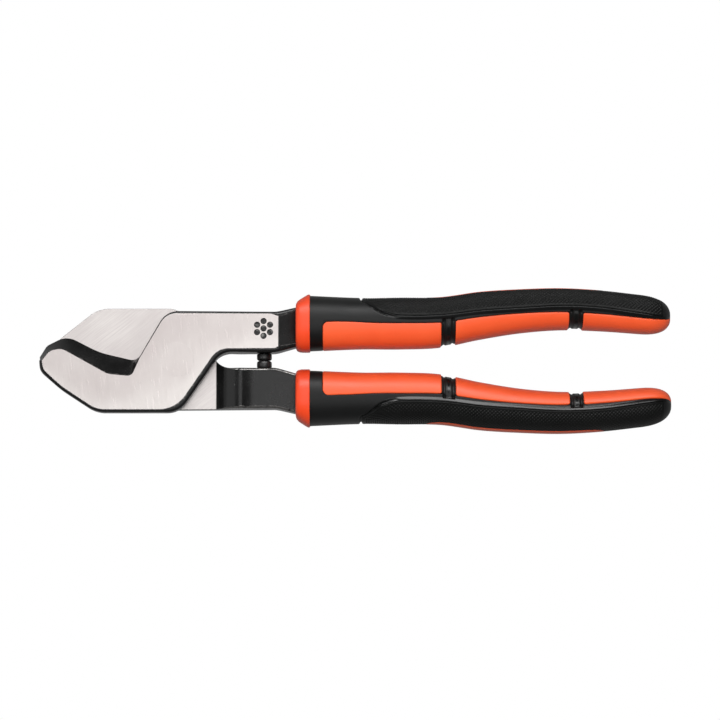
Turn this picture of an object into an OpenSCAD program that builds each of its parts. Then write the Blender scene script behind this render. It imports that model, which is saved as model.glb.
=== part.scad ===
// Hand cable cutter with two crossed halves, stop studs and moulded two-colour grips.
// Millimetres. The pivot axis is Z, the jaws point to -X and the handles to +X.
// Z = 0 is the flat rear face of the head. The two halves meet on a shear plane halfway up.

/* [Head] */
// Distance from the pivot to the tip of the jaws
jaw_reach = 53; // [50:0.5:56]
// Height of the closed head, from the belly of one half to the belly of the other
head_h = 39.4; // [38:0.2:41]
// Thickness of one half
half_t = 5.5; // [5:0.25:6]
// Height of the flat land behind a cutting edge
edge_land = 0.4; // [0.3:0.1:0.8]
// Length of the ramp where a tang grows to full thickness
ramp_l = 10; // [8:0.5:11]

/* [Pivot] */
// Radius of the rivet's shank
rivet_r = 5; // [4:0.25:6]
// Radius of its countersunk ends
rivet_head_r = 6.4; // [6.2:0.1:7]
// Depth of each countersink
rivet_sink = 1.6; // [1:0.1:2]
// Radial running clearance in the front half
rivet_fit = 0.05; // [0.03:0.01:0.1]
// How far the jaws are drawn open, in degrees
opened = 0; // [0:1:44]

/* [Stops] */
// Distance of the stop studs from the pivot
stop_x = 33.1; // [31:0.5:35]
// Radius of a stud
stop_r = 2.85; // [2.4:0.05:3.2]
// Radius of its pressed-in shank
stop_shank_r = 2; // [1.5:0.1:2.2]
// Gap left between the two stud faces when the jaws are closed
stop_gap = 0.2; // [0.1:0.05:0.4]

/* [Grips] */
// Where the collar starts
collar_x = 45.2; // [45.2:0.1:46]
// Length of the collar
collar_l = 5.4; // [4.5:0.1:6]
// How far the collar stands proud of the grip
collar_lip = 0.5; // [0.3:0.1:0.8]
// Far end of the grips
grip_end = 188.6; // [186:0.2:192]
// Thickness of a grip from front to back
grip_t = 21; // [19:0.5:22]
// Thickness of the soft skin
skin_t = 3; // [2.6:0.1:3.2]
// Depth of the coloured inlays
inlay_t = 2; // [1.5:0.1:2.2]
// Depth of the textured pads and of the spine strip
pad_t = 1.2; // [1:0.1:1.5]
// Half of the width of the spine strip
spine_w = 4.5; // [3:0.25:5]

/* [Hidden] */
$fn = 64;

steel = "gainsboro";
bright_steel = "silver";
orange = "orangered";
black_rubber = "#202020";
pad_rubber = "#2c2c2c";

face_z = 2 * half_t;
mid_z = half_t;
eps = 0.01;

// Outlines of one half, as corners [x, y, radius], for a jaw reach of 53 and a head 39.4 high.
// The half drawn here is the front one: its jaw points down and its tang goes up.
REACH = 53;
HEIGHT = 39.4;
// Cutting edge, rear of the jaw and top of the tang, on the shear plane
EDGE_PATH = [
  [-53, 1.2, 0], [-50.2, 5.8, 4], [-42.6, 9.6, 7.5], [-30, 3.2, 30], [-15.2, -0.3, 4.5],
  [-4.3, 18.75, 8], [38, 18.45, 12], [45.2, 20.3, 0]
];
// Back of the jaw, belly, waist and underside of the tang, on the shear plane
BACK_PATH = [
  [-53, 1.2, 0], [-52.6, -4.2, 5], [-44.3, -11.4, 40], [-30.9, -20.15, 12], [0.96, -20.15, 9],
  [16.82, 3.1, 7.5], [37.5, 2.8, 12], [45.2, 5, 0]
];
// The same two sides on the ground outer face, inside the cutting bevel and the edge chamfers
EDGE_FACE_PATH = [
  [-51.5, -0.4, 0], [-48.6, 3.3, 4], [-44.1, 4.2, 5], [-26.4, -5.6, 8], [-17.3, -6.4, 2.5],
  [-14.3, 0.5, 8], [-4.3, 17.75, 7], [36, 17.6, 5], [38.7, 16.4, 3], [45.2, 18.9, 0]
];
BACK_FACE_PATH = [
  [-51.5, -0.4, 0], [-51, -3.8, 4], [-44, -10.2, 40], [-30.6, -19.05, 11], [-0.49, -19.05, 12],
  [15.4, 4.3, 8], [37.2, 4.4, 3], [38.7, 5.2, 2], [45.2, 6.4, 0]
];
// Back of the rear jaw, which is a little narrower at the nose and deeper at the belly
REAR_BACK_PATH = [
  [-53, 1.2, 0], [-51.5, -2, 4], [-44.9, -8.8, 30], [-30.6, -20.2, 12], [0.96, -20.2, 9],
  [16.82, 3.1, 7.5], [37.5, 2.8, 12], [45.2, 5, 0]
];
REAR_BACK_FACE_PATH = [
  [-51.5, -0.4, 0], [-50.2, -2, 3], [-44.2, -8, 30], [-30.3, -18.9, 11], [-0.49, -18.9, 12],
  [15.4, 4.3, 8], [37.2, 4.4, 3], [38.7, 5.2, 2], [45.2, 6.4, 0]
];
// Where the inner face leaves the shear plane
SHOULDER_X = 14.9;
// Stations along the half, close together where the outlines turn
HALF_X = [
  -52.9, -52.4, -51.6, -50.6, -49.4, -48, -46, -44, -42, -40, -38, -35, -32, -29, -26, -23, -21,
  -19.5, -18.2, -17, -16, -15, -14.2, -12, -9, -7.5, -6, -4.5, -3, -1, 1, 2.4, 4, 8, 12, 13.4,
  SHOULDER_X, 17, 19, 21, SHOULDER_X + ramp_l, 25.5, 27, 30, 34, 37, 38.7, 41, 43.2, 45.2
];

// Grip: [x, centre line, half of the width], then the lines that split it, as a share of the half
// width outwards from the centre line
GRIP_ROWS = [
  [50.6, 14.4, 10.55], [70, 14.4, 9.75], [85, 14.5, 9.85], [100.3, 14.9, 9.6], [115.7, 17.5, 9.1],
  [131, 19.2, 8.35], [146.3, 20, 7.95], [161.6, 19.4, 7.75], [176.9, 18, 7.45], [190, 16.7, 7.2]
];
INLAY_LINE = [
  [50, -0.04], [64, -0.04], [76, -0.1], [98, -0.13], [116, -0.2], [138, -0.28], [162, -0.33],
  [189, -0.38]
];
PAD_LINE = [
  [50, 0.86], [70.9, 0.84], [75.1, 0.62], [78.2, 0.4], [84, 0.2], [100, 0.17], [116, 0.08],
  [131, 0.01], [159, 0.01], [173, -0.07], [189, -0.2]
];
GRIP_X0 = collar_x + collar_l;
ROUND_X = 176;
SQUARENESS = 2.5;
INLAYS = [[55.5, 100.7], [106.1, 149.4], [154.7, 200]];
PAD_X = [70.9, 185];
SPINE_X = [95, 163];
// Half of the parting line between two mouldings, in millimetres along the grip and in degrees
PART_X = 0.15;
PART_A = 0.9;
GRIP_X = [
  GRIP_X0, 55.5 - PART_X, 55.5 + PART_X, 63, PAD_X[0] - PART_X, PAD_X[0] + PART_X, 75, 78, 83, 89, 95, 97,
  100.7 - PART_X, 100.7 + PART_X, 106.1 - PART_X, 106.1 + PART_X, 113, 120, 127, 134, 142,
  149.4 - PART_X, 149.4 + PART_X, 154.7 - PART_X, 154.7 + PART_X, 161, 163, 169, 175, 180, 183.5,
  PAD_X[1] - PART_X, PAD_X[1] + PART_X, 186.6, 187.8, 188.4
];
SLEEVE_GAP = 0.3;
SLEEVE_END = 181;
// Bar inside a grip, as seen from the front: its lower side, then its upper side
BAR_END = 140;
BAR = [[44.2, 9.4], [100, 9.6], [BAR_END, 16.2], [BAR_END, 22.2], [100, 19.6], [44.2, 19.4]];
BAR_Z = [2.6, 8.6];
BAR_FIT = 0.05;

// ---- Lines and sections ----

function unit(v) = v / norm(v);
function turn(v, a) = [v.x * cos(a) - v.y * sin(a), v.x * sin(a) + v.y * cos(a)];

// Points of the arc that rounds corner b between a and c
function rounded(a, b, c, r) =
  let (
    u = unit(a - b),
    v = unit(c - b),
    half = acos(u * v) / 2,
    centre = b + unit(u + v) * r / sin(half),
    start = b + u * r / tan(half) - centre,
    way = sign(cross(start, v - u))
  ) [for (k = [0 : 6]) centre + turn(start, way * (180 - 2 * half) * k / 6)];

function flat(p) = [p.x, p.y];
function outline(path) = [
  for (i = [0 : len(path) - 1])
    each path[i][2] == 0 ? [flat(path[i])]
      : rounded(flat(path[i - 1]), flat(path[i]), flat(path[i + 1]), path[i][2])
];

EDGE = outline(EDGE_PATH);
FRONT_BACK = [outline(BACK_PATH), outline(BACK_FACE_PATH)];
REAR_BACK = [outline(REAR_BACK_PATH), outline(REAR_BACK_FACE_PATH)];
EDGE_FACE = outline(EDGE_FACE_PATH);

// Smooth value of column c at x, through the rows of a table
function smooth(x, t, c) =
  let (
    n = len(t) - 1,
    i = max([0, for (k = [0 : n - 1]) if (t[k][0] <= x) k]),
    before = t[max(i - 1, 0)],
    a = t[i],
    b = t[i + 1],
    after = t[min(i + 2, n)],
    h = b[0] - a[0],
    s = (x - a[0]) / h,
    slope_a = (b[c] - before[c]) / (b[0] - before[0]) * h,
    slope_b = (after[c] - a[c]) / (after[0] - a[0]) * h
  ) (2 * s ^ 3 - 3 * s ^ 2 + 1) * a[c] + (s ^ 3 - 2 * s ^ 2 + s) * slope_a
    + (3 * s ^ 2 - 2 * s ^ 3) * b[c] + (s ^ 3 - s ^ 2) * slope_b;

// The outer face is a little shorter than the shear plane at the nose
function face_x(x) = x + lookup(x, [[-52.9, 1.45], [-44, 0]]);
// Height of the inner face: the shear plane, the ramp to a crest, then a hollow towards the grip
function inner_z(x) = mid_z - lookup(x, [
  [SHOULDER_X, 0], [SHOULDER_X + ramp_l, 5.1], [27, 4.6], [30, 4.2], [37, 3.8], [45.2, 3.3]
]);
function outer_z(x) = lookup(x, [[38.7, face_z], [45.2, face_z - 1.4]]);
function edge_wall_z(x) = lookup(x, [
  [-17, mid_z + edge_land], [-13, face_z - 1.2], [38.7, face_z - 1.2], [45.2, face_z - 2.8]
]);
function back_wall_z(x) = lookup(x, [[-52.9, mid_z + 1.5], [-48, face_z - 1], [38.7, face_z - 1],
  [45.2, face_z - 2.8]]);
// The inner corners of the tang are broken, and on the shear plane they are all but sharp
function inner_break(x) = lookup(x, [[SHOULDER_X, 0.1], [SHOULDER_X + ramp_l, 1.2]]);

function stretch(x, y, z) = [x < 0 ? x * jaw_reach / REACH : x, y * head_h / HEIGHT, z];

// Section of a half at station x, eight corners, from the inner face round to the outer one.
// back holds the outlines of its back, on the shear plane and on the outer face.
function half_section(x, back) =
  let (
    e = lookup(x, EDGE),
    b = lookup(x, back[0]),
    f = face_x(x),
    c = inner_break(x),
    z = inner_z(x)
  ) [
    stretch(x, b + c, z), stretch(x, e - c, z), stretch(x, e, z + c), stretch(x, e, edge_wall_z(x)),
    stretch(f, lookup(f, EDGE_FACE), outer_z(x)), stretch(f, lookup(f, back[1]), outer_z(x)),
    stretch(x, b, back_wall_z(x)), stretch(x, b, z + c)
  ];

// ---- Solids from grids of points ----

// Triangles between the rows of a grid n by m whose first point is number base
function sheet(n, m, base, wrap, flip) = [
  for (i = [0 : n - 2], j = [0 : m - (wrap ? 1 : 2)])
    let (
      a = base + i * m + j,
      b = base + i * m + (j + 1) % m,
      c = b + m,
      d = a + m
    ) each flip ? [[a, b, c], [a, c, d]] : [[a, c, b], [a, d, c]]
];
// Triangles between two strings of point numbers
function seam(s, t) = [
  for (k = [0 : len(s) - 2]) each [[s[k], t[k + 1], t[k]], [s[k], s[k + 1], t[k + 1]]]
];
// Triangles from a centre point to a ring of m points
function fan(first, m, centre, flip) = [
  for (j = [0 : m - 1])
    flip ? [centre, first + j, first + (j + 1) % m] : [centre, first + (j + 1) % m, first + j]
];
function joined(rows) = [for (r = rows) each r];
function sum_of(v, i = 0) = i == len(v) ? 0 : v[i] + sum_of(v, i + 1);
function middle(ring) = [for (k = [0 : 2]) sum_of([for (p = ring) p[k]]) / len(ring)];

// Solid through closed rings, with a flat fan at each end
module loft(rings) {
  n = len(rings);
  m = len(rings[0]);
  polyhedron(
    points = [each joined(rings), middle(rings[0]), middle(rings[n - 1])],
    faces = [
      each sheet(n, m, 0, true, false),
      each fan(0, m, n * m, true),
      each fan((n - 1) * m, m, n * m + 1, false)
    ]
  );
}

// Cup through closed rings, open at the first ones and closed at the last
module cup(outer, inner) {
  n = len(outer);
  m = len(outer[0]);
  k = len(inner);
  start = n * m;
  tips = start + k * m;
  polyhedron(
    points = [each joined(outer), each joined(inner), middle(outer[n - 1]), middle(inner[k - 1])],
    faces = [
      each sheet(n, m, 0, true, false),
      each sheet(k, m, start, true, true),
      each seam([for (j = [0 : m]) j % m], [for (j = [0 : m]) start + j % m]),
      each fan((n - 1) * m, m, tips, false),
      each fan(start + (k - 1) * m, m, tips + 1, true)
    ]
  );
}

// Plate between an outer and an inner grid of the same size
module plate(outer, inner) {
  n = len(outer);
  m = len(outer[0]);
  start = n * m;
  first_row = [for (j = [0 : m - 1]) j];
  last_row = [for (j = [0 : m - 1]) (n - 1) * m + j];
  first_col = [for (i = [0 : n - 1]) i * m];
  last_col = [for (i = [0 : n - 1]) i * m + m - 1];
  polyhedron(
    points = [each joined(outer), each joined(inner)],
    faces = [
      each sheet(n, m, 0, false, false),
      each sheet(n, m, start, false, true),
      each seam(first_row, shifted(first_row, start)),
      each seam(shifted(last_row, start), last_row),
      each seam(shifted(first_col, start), first_col),
      each seam(last_col, shifted(last_col, start))
    ]
  );
}
function shifted(v, by) = [for (n = v) n + by];

// ---- Head ----

module half_blank(back) {
  loft([for (x = HALF_X) half_section(x, back)]);
}

// The bar that carries a grip, grown by fit on every side for the hole that takes it
module bar(fit) {
  n = len(BAR);
  grown = [for (k = [0 : n - 1]) BAR[k] + [BAR[k].x == BAR_END ? fit : 0, k < n / 2 ? -fit : fit]];
  translate([0, 0, BAR_Z[0] - fit]) linear_extrude(BAR_Z[1] - BAR_Z[0] + 2 * fit) polygon(grown);
}

// Shank with a countersunk end flush with each outer face
module rivet_shape(fit) {
  cylinder(r = rivet_r + fit, h = face_z);
  for (top = [0, 1]) {
    translate([0, 0, top * face_z]) rotate([top * 180, 0, 0])
      cylinder(r1 = rivet_head_r + fit, r2 = rivet_r + fit, h = rivet_sink);
  }
}

// One half with its bar, its rivet hole and the hole for its stop stud
module half(fit, back) {
  difference() {
    union() {
      half_blank(back);
      bar(0);
    }
    rivet_shape(fit);
    translate([stop_x, 0, mid_z]) rotate([-90, 0, 0]) cylinder(r = stop_shank_r, h = 11);
  }
}

// What is on the rear half is drawn like the front one and turned over about the X axis
module turned_over() {
  translate([0, 0, face_z]) rotate([180, 0, 0]) children();
}

// What moves with the front half turns about the rivet
module swung() {
  rotate([0, 0, opened]) children();
}

module front_half() {
  color(steel) swung() half(rivet_fit, FRONT_BACK);
}

module rear_half() {
  color(steel) turned_over() half(0, REAR_BACK);
}

module pivot_rivet() {
  color(bright_steel) rivet_shape(0);
}

module stop_stud() {
  tip_y = stop_gap / 2;
  chamfer = 0.7;
  seat_y = 3;
  color(bright_steel) translate([stop_x, 0, mid_z]) rotate([-90, 0, 0]) rotate_extrude() polygon([
    [0, tip_y], [stop_r - chamfer, tip_y], [stop_r, tip_y + chamfer], [stop_r, seat_y - 0.3],
    [stop_shank_r, seat_y - 0.3], [stop_shank_r, 10.5], [0, 10.5]
  ]);
}

module upper_stop_stud() {
  swung() stop_stud();
}

module lower_stop_stud() {
  turned_over() stop_stud();
}

// ---- Grips ----

function end_round(x) = x <= ROUND_X ? 1
  : (1 - ((x - ROUND_X) / (grip_end - ROUND_X)) ^ 2.6) ^ (1 / 2.6);
function half_width(x) = smooth(x, GRIP_ROWS, 2) * end_round(x);
function half_depth(x) = (grip_t / 2 - lookup(x, [[100, 0], [170, 1.2]])) * end_round(x);
function power(v, p) = sign(v) * abs(v) ^ p;

// Point of the grip at station x, at angle a from its outer edge, sunk by depth
function grip_point(x, a, depth) = [
  x,
  smooth(x, GRIP_ROWS, 1) + (half_width(x) - depth) * power(cos(a), 2 / SQUARENESS),
  mid_z + (half_depth(x) - depth) * power(sin(a), 2 / SQUARENESS)
];

// Angles of the lines that split the section
function share_angle(u) = acos(power(u, SQUARENESS / 2));
function inlay_angle(x) = share_angle(smooth(x, INLAY_LINE, 1));
function pad_angle(x) = share_angle(smooth(x, PAD_LINE, 1));
function spine_half(x) = x <= SPINE_X[0] || x >= SPINE_X[1] ? 0.25
  : max(0.25, spine_w * (1 - abs((2 * x - SPINE_X[0] - SPINE_X[1]) / (SPINE_X[1] - SPINE_X[0])) ^ 12) ^ 0.5);
function spine_angle(x) = asin(min(1, spine_half(x) / half_depth(x)) ^ (SQUARENESS / 2));

// Angles round half a section: spine, pad, plain strip and inlay
SPINE_COLS = [0, 2];
PAD_COLS = [3, 8];
INLAY_COLS = [13, 20];
function half_angles(x) =
  let (s = spine_angle(x), p = pad_angle(x), i = inlay_angle(x)) [
    0, s / 2, s,
    for (k = [0 : 5]) s + PART_A + (p - s - 2 * PART_A) * k / 5,
    for (k = [0 : 3]) p + PART_A + (i - p - 2 * PART_A) * k / 3,
    for (k = [0 : 7]) i + PART_A + (180 - i - PART_A) * k / 7
  ];
HALF_COLS = 21;
RING_COLS = 2 * HALF_COLS - 2;
function angle_at(x, col) =
  let (h = half_angles(x)) col < HALF_COLS ? h[col] : 360 - h[RING_COLS - col];
function folded(col) = col < HALF_COLS ? col : RING_COLS - col;

function between(v, range) = v > range[0] && v < range[1];
function in_inlay(x) = len([for (w = INLAYS) if (between(x, w)) 1]) > 0;

// How far the skin is sunk at station x and column col, to hold what lies in it
function recess(x, col) =
  let (c = folded(col))
  c <= PAD_COLS[1] && between(x, PAD_X) ? pad_t : c >= INLAY_COLS[0] && in_inlay(x) ? inlay_t : 0;

function skin_ring(x, inner) = [
  for (c = [0 : RING_COLS - 1]) grip_point(x, angle_at(x, c), inner ? skin_t : recess(x, c))
];

// Grid of points over stations within range and columns first to last, sunk by depth
function patch(range, first, last, depth) = [
  for (x = GRIP_X) if (between(x, range)) [
    for (c = [first : last]) grip_point(x, angle_at(x, (c + RING_COLS) % RING_COLS), depth)
  ]
];

module skin() {
  inner_x = [for (x = GRIP_X) if (x < 184) x];
  color(black_rubber) cup([for (x = GRIP_X) skin_ring(x, false)], [for (x = inner_x) skin_ring(x, true)]);
}

module inlay(n) {
  first = INLAY_COLS[0];
  last = RING_COLS - first;
  color(orange) plate(patch(INLAYS[n], first, last, 0), patch(INLAYS[n], first, last, inlay_t));
}

module pad_front_side() {
  c = PAD_COLS;
  color(pad_rubber) plate(patch(PAD_X, c[0], c[1], 0), patch(PAD_X, c[0], c[1], pad_t));
}

module pad_back_side() {
  c = [RING_COLS - PAD_COLS[1], RING_COLS - PAD_COLS[0]];
  color(pad_rubber) plate(patch(PAD_X, c[0], c[1], 0), patch(PAD_X, c[0], c[1], pad_t));
}

module spine_strip() {
  reach = [SPINE_X[0] - eps, SPINE_X[1] + eps];
  c = SPINE_COLS[1];
  color(orange) plate(patch(reach, -c, c, 0), patch(reach, -c, c, pad_t));
}

module core_sleeve() {
  color(orange) difference() {
    loft([
      for (x = GRIP_X) if (x < SLEEVE_END) [
        for (c = [0 : 2 : RING_COLS - 1]) grip_point(x, angle_at(x, c), skin_t + SLEEVE_GAP)
      ]
    ]);
    bar(BAR_FIT);
  }
}

module collar() {
  sides = 32;
  // Station behind the collar's front face, how far its edge is drawn in there, and how much
  // further on its outer side
  rows = [
    [0, 1.5, 2.6], [0.25, 0.9, 2.5], [0.8, 0.35, 2.2], [1.6, 0.1, 1.8], [collar_l - 1, 0, 0],
    [collar_l, 0.1, 0]
  ];
  color(orange) difference() {
    loft([
      for (r = rows) [
        for (k = [0 : sides - 1])
          let (
            a = k * 360 / sides,
            p = grip_point(GRIP_X0, a, r[1] - collar_lip)
          ) [collar_x + r[0], p.y - r[2] * max(0, cos(a)) ^ 2, p.z]
      ]
    ]);
    bar(BAR_FIT);
  }
}

module upper_collar() { swung() collar(); }
module upper_core_sleeve() { swung() core_sleeve(); }
module upper_skin() { swung() skin(); }
module upper_inlay_front() { swung() inlay(0); }
module upper_inlay_middle() { swung() inlay(1); }
module upper_inlay_rear() { swung() inlay(2); }
module upper_pad_front() { swung() pad_front_side(); }
module upper_pad_back() { swung() pad_back_side(); }
module upper_spine_strip() { swung() spine_strip(); }

module lower_collar() { turned_over() collar(); }
module lower_core_sleeve() { turned_over() core_sleeve(); }
module lower_skin() { turned_over() skin(); }
module lower_inlay_front() { turned_over() inlay(0); }
module lower_inlay_middle() { turned_over() inlay(1); }
module lower_inlay_rear() { turned_over() inlay(2); }
module lower_pad_front() { turned_over() pad_back_side(); }
module lower_pad_back() { turned_over() pad_front_side(); }
module lower_spine_strip() { turned_over() spine_strip(); }

front_half();
rear_half();
pivot_rivet();
upper_stop_stud();
lower_stop_stud();
upper_collar();
upper_core_sleeve();
upper_skin();
upper_inlay_front();
upper_inlay_middle();
upper_inlay_rear();
upper_pad_front();
upper_pad_back();
upper_spine_strip();
lower_collar();
lower_core_sleeve();
lower_skin();
lower_inlay_front();
lower_inlay_middle();
lower_inlay_rear();
lower_pad_front();
lower_pad_back();
lower_spine_strip();
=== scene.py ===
# %% [markdown]
# # A hand cable cutter
# The tool has two crossed steel halves on one flush rivet, a pair of stop studs between the tangs,
# and a moulded grip on each tang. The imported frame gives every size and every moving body. This
# lesson builds a finer mesh for each visible piece around that frame, and gives it its finish.

# %% Load the frame
import math

import bmesh
import bpy
import numpy as np
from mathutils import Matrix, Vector


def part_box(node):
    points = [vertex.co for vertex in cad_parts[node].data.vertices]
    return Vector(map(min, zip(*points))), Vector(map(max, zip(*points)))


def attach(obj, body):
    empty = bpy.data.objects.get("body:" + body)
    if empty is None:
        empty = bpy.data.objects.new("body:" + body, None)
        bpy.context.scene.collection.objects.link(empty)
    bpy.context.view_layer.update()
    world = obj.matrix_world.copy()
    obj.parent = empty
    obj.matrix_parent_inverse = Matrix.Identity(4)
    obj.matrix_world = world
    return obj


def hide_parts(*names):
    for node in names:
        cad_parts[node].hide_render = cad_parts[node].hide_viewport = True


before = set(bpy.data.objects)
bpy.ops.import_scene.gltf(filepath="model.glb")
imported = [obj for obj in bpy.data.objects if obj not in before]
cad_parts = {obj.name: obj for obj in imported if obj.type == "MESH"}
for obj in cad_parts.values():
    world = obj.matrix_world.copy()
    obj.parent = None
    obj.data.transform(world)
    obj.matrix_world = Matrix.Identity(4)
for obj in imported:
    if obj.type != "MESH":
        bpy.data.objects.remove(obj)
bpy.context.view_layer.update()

MM = 0.001
FRONT_BODY = "front_half_and_upper_grip"
REAR_BODY = "rear_half_and_lower_grip"


def box_mm(*nodes):
    """Lowest and highest corner of some CAD nodes together, in millimetres."""
    corners = [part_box(node) for node in nodes]
    low = np.min([np.array(c[0]) for c in corners], axis=0) / MM
    high = np.max([np.array(c[1]) for c in corners], axis=0) / MM
    return low, high


# %% [markdown]
# ## Camera
# A hand tool reads best from almost straight above, where both jaws and both grips show their
# outlines. A short lens close by would bend them, so a long lens stands further away. The camera
# comes first, so that every later step can be judged through it.

# %% Camera
AZIMUTH, ELEVATION = 0, 83.5
LENS, SENSOR = 150, 36
FIELD_W = 0.2757
AIM = Vector((0.0697, 0.0004, 0.0055))

camera_data = bpy.data.cameras.new("camera")
camera_data.lens = LENS
camera_data.sensor_width = SENSOR
camera = bpy.data.objects.new("camera", camera_data)
bpy.context.scene.collection.objects.link(camera)
tilt = math.radians(ELEVATION)
distance = FIELD_W * LENS / SENSOR
camera.location = AIM + distance * Vector((0, -math.cos(tilt), math.sin(tilt)))
camera.rotation_euler = (math.pi / 2 - tilt, 0, math.radians(AZIMUTH))
bpy.context.scene.camera = camera
bpy.context.scene.view_settings.view_transform = "Standard"
print("camera", round(distance, 3), "m away")

# %% [markdown]
# ## Floor
# The tool lies on a bright white sweep. It could be a white surface under strong lamps, but every
# lamp would leave its own pool of light on it, so this floor glows evenly by itself. It counts
# for less in the light that it gives and in reflections, which keeps the sides of the tool dark.

# %% Floor
FLOOR_HALF, FLOOR_DROP = 3.0, 0.0005          # half of its side, and how far below the tool it lies
FLOOR_LIGHT, FLOOR_MIRRORED = 0.12, 0.4       # its share in diffuse light and in reflections
low, high = box_mm(*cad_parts)


def new_material(name):
    """An empty node material with its output, and a helper that adds nodes to it."""
    material = bpy.data.materials.new(name)
    material.use_nodes = True
    material.node_tree.nodes.clear()
    return material, material.node_tree.nodes, material.node_tree.links


def floor_material():
    """Even glow on the upper side, and nothing to see from below."""
    material, nodes, links = new_material("white_sweep")
    glow = nodes.new("ShaderNodeEmission")
    glow.inputs["Color"].default_value = (1, 1, 1, 1)
    path = nodes.new("ShaderNodeLightPath")
    strength = nodes.new("ShaderNodeMath")
    strength.operation = "MULTIPLY"
    shares = (("Is Diffuse Ray", FLOOR_LIGHT), ("Is Glossy Ray", FLOOR_MIRRORED))
    for input_number, (ray, left) in enumerate(shares):
        part = nodes.new("ShaderNodeMapRange")
        part.inputs["To Min"].default_value = 1.0
        part.inputs["To Max"].default_value = left
        links.new(path.outputs[ray], part.inputs["Value"])
        links.new(part.outputs["Result"], strength.inputs[input_number])
    links.new(strength.outputs["Value"], glow.inputs["Strength"])
    clear = nodes.new("ShaderNodeBsdfTransparent")
    side = nodes.new("ShaderNodeNewGeometry")
    mix = nodes.new("ShaderNodeMixShader")
    out = nodes.new("ShaderNodeOutputMaterial")
    links.new(side.outputs["Backfacing"], mix.inputs["Fac"])
    links.new(glow.outputs["Emission"], mix.inputs[1])
    links.new(clear.outputs["BSDF"], mix.inputs[2])
    links.new(mix.outputs["Shader"], out.inputs["Surface"])
    return material


floor_mesh = bpy.data.meshes.new("floor")
floor_z = low[2] * MM - FLOOR_DROP
floor_mesh.from_pydata(
    [(x * FLOOR_HALF, y * FLOOR_HALF, floor_z) for x, y in ((-1, -1), (1, -1), (1, 1), (-1, 1))],
    [],
    [(0, 1, 2, 3)],
)
floor = bpy.data.objects.new("floor", floor_mesh)
bpy.context.scene.collection.objects.link(floor)
floor.data.materials.append(floor_material())
print("floor at", round(floor_z, 5))

# %% [markdown]
# ## Lights
# Flat ground steel shows whatever stands opposite, so the lights are planned as reflections. A
# broad box overhead fills the flat faces. A small lamp that reflections don't see brings out the
# orange plastic. A long strip behind the tool, which only reflections see, draws the thin bright
# lines along beads and rolled edges.

# %% Lights


def softbox(name, place, aim, size, radiance):
    """An area light at place, turned to aim, as bright per area as radiance says."""
    data = bpy.data.lights.new(name, "AREA")
    data.shape = "RECTANGLE"
    data.size, data.size_y = size
    data.energy = radiance * math.pi * size[0] * size[1]
    lamp = bpy.data.objects.new(name, data)
    lamp.location = place
    lamp.rotation_euler = (Vector(aim) - Vector(place)).to_track_quat("-Z", "Y").to_euler()
    bpy.context.scene.collection.objects.link(lamp)
    return lamp


MIDDLE = (0.07, 0, 0)
top_box = softbox("top_box", (0.07, 0.0, 1.3), MIDDLE, (0.78, 0.9), 1.45)
fill = softbox("fill", (0.07, 0.1, 1.0), MIDDLE, (0.4, 0.4), 17.0)
fill.visible_glossy = False
strip_box = softbox("strip_box", (0.07, 0.75, 0.85), MIDDLE, (1.3, 0.3), 10.0)
strip_box.visible_diffuse = False
left_box = softbox("left_box", (-0.9, 0.0, 0.8), MIDDLE, (0.5, 0.8), 1.0)
world = bpy.data.worlds.new("studio")
world.use_nodes = True
world.node_tree.nodes["Background"].inputs["Color"].default_value = (0.12, 0.12, 0.12, 1)
world.node_tree.nodes["Background"].inputs["Strength"].default_value = 1.0
bpy.context.scene.world = world
print("lights:", [lamp.name for lamp in (top_box, fill, strip_box, left_box)])

# %% [markdown]
# ## Shader groups
# Real surfaces are never even. Three effects come back in several finishes: grain, scratches and
# worn edges. Each could be drawn again in every material, but as a node group it is built once
# and placed with its own values. These helpers make an empty group with named sockets, and the
# small nodes that all three use.

# %% Helper for groups


def group_with(name, inputs, outputs):
    """A shader group with float sockets named and set as inputs says, and outputs of given types."""
    tree = bpy.data.node_groups.new(name, "ShaderNodeTree")
    for socket_name, value in inputs:
        socket = tree.interface.new_socket(socket_name, in_out="INPUT", socket_type="NodeSocketFloat")
        socket.default_value = value
    for socket_name, kind in outputs:
        tree.interface.new_socket(socket_name, in_out="OUTPUT", socket_type=kind)
    return tree, tree.nodes.new("NodeGroupInput"), tree.nodes.new("NodeGroupOutput")


def math_node(nodes, links, operation, a, b):
    """A Math node; a and b are sockets or numbers."""
    node = nodes.new("ShaderNodeMath")
    node.operation = operation
    for slot_number, value in ((0, a), (1, b)):
        if isinstance(value, (int, float)):
            node.inputs[slot_number].default_value = value
        else:
            links.new(value, node.inputs[slot_number])
    return node.outputs[0]


def place_vector(nodes, links):
    """Position in the part's own frame, in metres."""
    return nodes.new("ShaderNodeTexCoord").outputs["Object"]


print("group helpers ready")

# %% [markdown]
# ## Grain
# Blasted steel and moulded rubber carry a fine grain, and a broad unevenness in gloss over it. A
# painted image could show both, but noise in the space of the part needs no unwrapping and keeps
# its size in metres on every piece.

# %% Grain


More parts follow.
